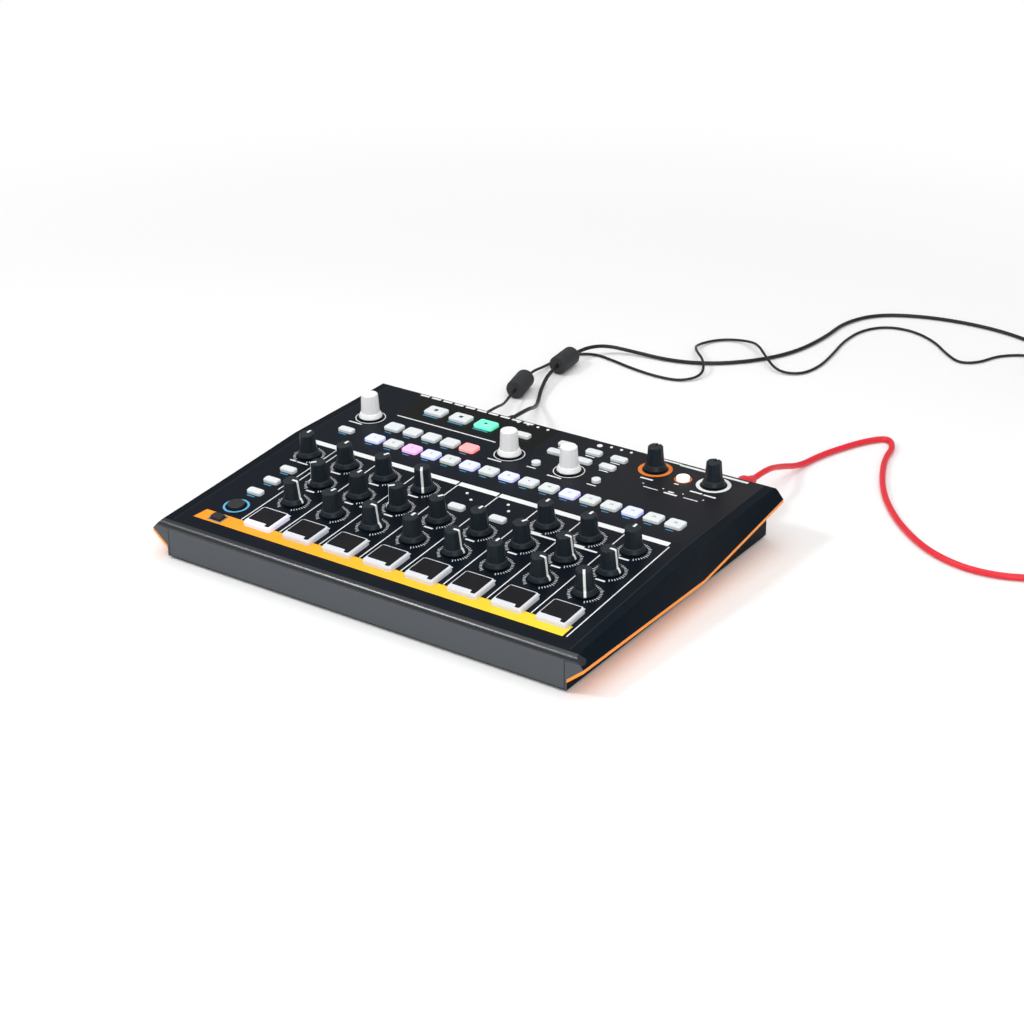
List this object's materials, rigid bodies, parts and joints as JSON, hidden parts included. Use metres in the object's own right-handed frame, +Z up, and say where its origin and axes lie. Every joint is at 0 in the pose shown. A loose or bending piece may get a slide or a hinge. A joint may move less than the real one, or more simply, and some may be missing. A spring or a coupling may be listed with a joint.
{
  "type": "drum machine",
  "caption": "Desktop drum machine with a sloping control panel, rows of turning dials, eight pads, step buttons and plugged-in audio, computer and power leads.",
  "frame": {"origin": "centre of the case's footprint, on the surface that the feet stand on", "axes": "+X to the right along the front edge, +Y from the player to the back, +Z up"},
  "size_m": [0.5558, 0.6908, 0.0524],
  "materials": {
    "panel_paint": "satin",
    "tray_metal": "matt",
    "cheek_paint": "satin",
    "liner_orange": "satin",
    "foot_rubber": "matt",
    "screw_steel": "dark plated",
    "board_green": "lacquered",
    "pot_metal": "plain",
    "switch_black": "matt",
    "lamp_lens": "clear",
    "socket_black": "matt",
    "rocker_black": "gloss",
    "lead_red": "satin",
    "lead_black": "satin",
    "fitting_black": "matt",
    "knob_black": "satin",
    "knob_white": "satin",
    "pad_rubber": "satin translucent",
    "button_white": "satin translucent"
  },
  "bodies": {
    "case": {"top_panel": "panel_paint", "base_tray": "tray_metal", "right_cheek": "cheek_paint", "left_cheek": "cheek_paint", "cheek_liners": "liner_orange", "rubber_feet": "foot_rubber", "screws": "screw_steel", "circuit_boards": "board_green", "potentiometers": "pot_metal", "switches": "switch_black", "lamps": "lamp_lens", "rear_sockets": "socket_black", "audio_lead": "lead_red", "usb_lead": "lead_black", "power_lead": "lead_black", "lead_coils": "lead_black", "lead_fittings": "fitting_black", "far_plugs": "fitting_black"},
    "level_knob_1": {"level_knob_1": "knob_black"},
    "level_knob_2": {"level_knob_2": "knob_black"},
    "level_knob_3": {"level_knob_3": "knob_black"},
    "level_knob_4": {"level_knob_4": "knob_black"},
    "level_knob_5": {"level_knob_5": "knob_black"},
    "level_knob_6": {"level_knob_6": "knob_black"},
    "level_knob_7": {"level_knob_7": "knob_black"},
    "level_knob_8": {"level_knob_8": "knob_black"},
    "tone_knob_1": {"tone_knob_1": "knob_black"},
    "tone_knob_2": {"tone_knob_2": "knob_black"},
    "tone_knob_3": {"tone_knob_3": "knob_black"},
    "tone_knob_4": {"tone_knob_4": "knob_black"},
    "tone_knob_5": {"tone_knob_5": "knob_black"},
    "tone_knob_6": {"tone_knob_6": "knob_black"},
    "tone_knob_7": {"tone_knob_7": "knob_black"},
    "tone_knob_8": {"tone_knob_8": "knob_black"},
    "decay_knob_1": {"decay_knob_1": "knob_black"},
    "decay_knob_2": {"decay_knob_2": "knob_black"},
    "decay_knob_3": {"decay_knob_3": "knob_black"},
    "decay_knob_6": {"decay_knob_6": "knob_black"},
    "decay_knob_7": {"decay_knob_7": "knob_black"},
    "decay_knob_8": {"decay_knob_8": "knob_black"},
    "side_knob": {"side_knob": "knob_black"},
    "drive_knob": {"drive_knob": "knob_black"},
    "volume_knob": {"volume_knob": "knob_black"},
    "tempo_encoder": {"tempo_encoder": "knob_white"},
    "select_encoder": {"select_encoder": "knob_white"},
    "value_encoder": {"value_encoder": "knob_white"},
    "pad_1": {"pad_1": "pad_rubber"},
    "pad_2": {"pad_2": "pad_rubber"},
    "pad_3": {"pad_3": "pad_rubber"},
    "pad_4": {"pad_4": "pad_rubber"},
    "pad_5": {"pad_5": "pad_rubber"},
    "pad_6": {"pad_6": "pad_rubber"},
    "pad_7": {"pad_7": "pad_rubber"},
    "pad_8": {"pad_8": "pad_rubber"},
    "step_buttons": {"step_buttons": "button_white"},
    "mode_buttons": {"mode_buttons": "button_white"},
    "transport_buttons": {"transport_buttons": "button_white"},
    "rear_function_buttons": {"rear_function_buttons": "button_white"},
    "front_function_buttons": {"front_function_buttons": "button_white"},
    "power_rocker": {"power_rocker": "rocker_black"}
  },
  "joints": [
    {"name": "level_knob_1_turn", "type": "hinge", "parent": "case", "child": "level_knob_1", "pos_m": [-0.093, -0.0553, 0.02842], "axis": [0, -0.0791, 0.9969], "range_deg": [-60, 240]},
    {"name": "level_knob_2_turn", "type": "hinge", "parent": "case", "child": "level_knob_2", "pos_m": [-0.0624, -0.0553, 0.02842], "axis": [0, -0.0791, 0.9969], "range_deg": [-140, 160]},
    {"name": "level_knob_3_turn", "type": "hinge", "parent": "case", "child": "level_knob_3", "pos_m": [-0.0318, -0.0553, 0.02842], "axis": [0, -0.0791, 0.9969], "range_deg": [-58, 242]},
    {"name": "level_knob_4_turn", "type": "hinge", "parent": "case", "child": "level_knob_4", "pos_m": [-0.0012, -0.0553, 0.02842], "axis": [0, -0.0791, 0.9969], "range_deg": [-145, 155]},
    {"name": "level_knob_5_turn", "type": "hinge", "parent": "case", "child": "level_knob_5", "pos_m": [0.0294, -0.0553, 0.02842], "axis": [0, -0.0791, 0.9969], "range_deg": [-62, 238]},
    {"name": "level_knob_6_turn", "type": "hinge", "parent": "case", "child": "level_knob_6", "pos_m": [0.06, -0.0553, 0.02842], "axis": [0, -0.0791, 0.9969], "range_deg": [-150, 150]},
    {"name": "level_knob_7_turn", "type": "hinge", "parent": "case", "child": "level_knob_7", "pos_m": [0.0906, -0.0553, 0.02842], "axis": [0, -0.0791, 0.9969], "range_deg": [-55, 245]},
    {"name": "level_knob_8_turn", "type": "hinge", "parent": "case", "child": "level_knob_8", "pos_m": [0.1212, -0.0553, 0.02842], "axis": [0, -0.0791, 0.9969], "range_deg": [-3, 297]},
    {"name": "tone_knob_1_turn", "type": "hinge", "parent": "case", "child": "tone_knob_1", "pos_m": [-0.093, -0.0291, 0.0305], "axis": [0, -0.0791, 0.9969], "range_deg": [-285, 15]},
    {"name": "tone_knob_2_turn", "type": "hinge", "parent": "case", "child": "tone_knob_2", "pos_m": [-0.0624, -0.0291, 0.0305], "axis": [0, -0.0791, 0.9969], "range_deg": [-142, 158]},
    {"name": "tone_knob_3_turn", "type": "hinge", "parent": "case", "child": "tone_knob_3", "pos_m": [-0.0318, -0.0291, 0.0305], "axis": [0, -0.0791, 0.9969], "range_deg": [-283, 17]},
    {"name": "tone_knob_4_turn", "type": "hinge", "parent": "case", "child": "tone_knob_4", "pos_m": [-0.0012, -0.0291, 0.0305], "axis": [0, -0.0791, 0.9969], "range_deg": [-120, 180]},
    {"name": "tone_knob_5_turn", "type": "hinge", "parent": "case", "child": "tone_knob_5", "pos_m": [0.0294, -0.0291, 0.0305], "axis": [0, -0.0791, 0.9969], "range_deg": [-146, 154]},
    {"name": "tone_knob_6_turn", "type": "hinge", "parent": "case", "child": "tone_knob_6", "pos_m": [0.06, -0.0291, 0.0305], "axis": [0, -0.0791, 0.9969], "range_deg": [-122, 178]},
    {"name": "tone_knob_7_turn", "type": "hinge", "parent": "case", "child": "tone_knob_7", "pos_m": [0.0906, -0.0291, 0.0305], "axis": [0, -0.0791, 0.9969], "range_deg": [-60, 240]},
    {"name": "tone_knob_8_turn", "type": "hinge", "parent": "case", "child": "tone_knob_8", "pos_m": [0.1212, -0.0291, 0.0305], "axis": [0, -0.0791, 0.9969], "range_deg": [-58, 242]},
    {"name": "decay_knob_1_turn", "type": "hinge", "parent": "case", "child": "decay_knob_1", "pos_m": [-0.093, -0.0029, 0.03258], "axis": [0, -0.0791, 0.9969], "range_deg": [-150, 150]},
    {"name": "decay_knob_2_turn", "type": "hinge", "parent": "case", "child": "decay_knob_2", "pos_m": [-0.0624, -0.0029, 0.03258], "axis": [0, -0.0791, 0.9969], "range_deg": [-122, 178]},
    {"name": "decay_knob_3_turn", "type": "hinge", "parent": "case", "child": "decay_knob_3", "pos_m": [-0.0318, -0.0029, 0.03258], "axis": [0, -0.0791, 0.9969], "range_deg": [-3, 297]},
    {"name": "decay_knob_6_turn", "type": "hinge", "parent": "case", "child": "decay_knob_6", "pos_m": [0.06, -0.0029, 0.03258], "axis": [0, -0.0791, 0.9969], "range_deg": [-150, 150]},
    {"name": "decay_knob_7_turn", "type": "hinge", "parent": "case", "child": "decay_knob_7", "pos_m": [0.0906, -0.0029, 0.03258], "axis": [0, -0.0791, 0.9969], "range_deg": [-146, 154]},
    {"name": "decay_knob_8_turn", "type": "hinge", "parent": "case", "child": "decay_knob_8", "pos_m": [0.1212, -0.0029, 0.03258], "axis": [0, -0.0791, 0.9969], "range_deg": [-152, 148]},
    {"name": "side_knob_turn", "type": "hinge", "parent": "case", "child": "side_knob", "pos_m": [-0.1236, -0.0029, 0.03258], "axis": [0, -0.0791, 0.9969], "range_deg": [-152, 148]},
    {"name": "drive_knob_turn", "type": "hinge", "parent": "case", "child": "drive_knob", "pos_m": [0.0764, 0.0955, 0.03566], "axis": [0, -0.0187, 0.9998], "range_deg": [-150, 150]},
    {"name": "volume_knob_turn", "type": "hinge", "parent": "case", "child": "volume_knob", "pos_m": [0.1184, 0.0955, 0.03566], "axis": [0, -0.0187, 0.9998], "range_deg": [-150, 150]},
    {"name": "tempo_encoder_turn", "type": "hinge", "parent": "case", "child": "tempo_encoder", "pos_m": [-0.1246, 0.0629, 0.03505], "axis": [0, -0.0187, 0.9998], "continuous": true},
    {"name": "select_encoder_turn", "type": "hinge", "parent": "case", "child": "select_encoder", "pos_m": [-0.0139, 0.0649, 0.03509], "axis": [0, -0.0187, 0.9998], "continuous": true},
    {"name": "value_encoder_turn", "type": "hinge", "parent": "case", "child": "value_encoder", "pos_m": [0.0316, 0.0649, 0.03509], "axis": [0, -0.0187, 0.9998], "continuous": true},
    {"name": "pad_1_press", "type": "slide", "parent": "case", "child": "pad_1", "axis": [0, 0.0791, -0.9969], "range_m": [0, 0.0008], "stiffness_N_per_m": 1200},
    {"name": "pad_2_press", "type": "slide", "parent": "case", "child": "pad_2", "axis": [0, 0.0791, -0.9969], "range_m": [0, 0.0008], "stiffness_N_per_m": 1200},
    {"name": "pad_3_press", "type": "slide", "parent": "case", "child": "pad_3", "axis": [0, 0.0791, -0.9969], "range_m": [0, 0.0008], "stiffness_N_per_m": 1200},
    {"name": "pad_4_press", "type": "slide", "parent": "case", "child": "pad_4", "axis": [0, 0.0791, -0.9969], "range_m": [0, 0.0008], "stiffness_N_per_m": 1200},
    {"name": "pad_5_press", "type": "slide", "parent": "case", "child": "pad_5", "axis": [0, 0.0791, -0.9969], "range_m": [0, 0.0008], "stiffness_N_per_m": 1200},
    {"name": "pad_6_press", "type": "slide", "parent": "case", "child": "pad_6", "axis": [0, 0.0791, -0.9969], "range_m": [0, 0.0008], "stiffness_N_per_m": 1200},
    {"name": "pad_7_press", "type": "slide", "parent": "case", "child": "pad_7", "axis": [0, 0.0791, -0.9969], "range_m": [0, 0.0008], "stiffness_N_per_m": 1200},
    {"name": "pad_8_press", "type": "slide", "parent": "case", "child": "pad_8", "axis": [0, 0.0791, -0.9969], "range_m": [0, 0.0008], "stiffness_N_per_m": 1200},
    {"name": "step_buttons_press", "type": "slide", "parent": "case", "child": "step_buttons", "axis": [0, 0.0187, -0.9998], "range_m": [0, 0.0007], "stiffness_N_per_m": 3000},
    {"name": "mode_buttons_press", "type": "slide", "parent": "case", "child": "mode_buttons", "axis": [0, 0.0187, -0.9998], "range_m": [0, 0.0007], "stiffness_N_per_m": 2000},
    {"name": "transport_buttons_press", "type": "slide", "parent": "case", "child": "transport_buttons", "axis": [0, 0.0187, -0.9998], "range_m": [0, 0.0007], "stiffness_N_per_m": 1500},
    {"name": "rear_function_buttons_press", "type": "slide", "parent": "case", "child": "rear_function_buttons", "axis": [0, 0.0187, -0.9998], "range_m": [0, 0.0007], "stiffness_N_per_m": 2000},
    {"name": "front_function_buttons_press", "type": "slide", "parent": "case", "child": "front_function_buttons", "axis": [0, 0.0791, -0.9969], "range_m": [0, 0.0007], "stiffness_N_per_m": 2000},
    {"name": "power_rocker_tip", "type": "hinge", "parent": "case", "child": "power_rocker", "pos_m": [-0.112, 0.1075, 0.019], "axis": [0, 0, 1], "range_deg": [-8, 8]}
  ]
}
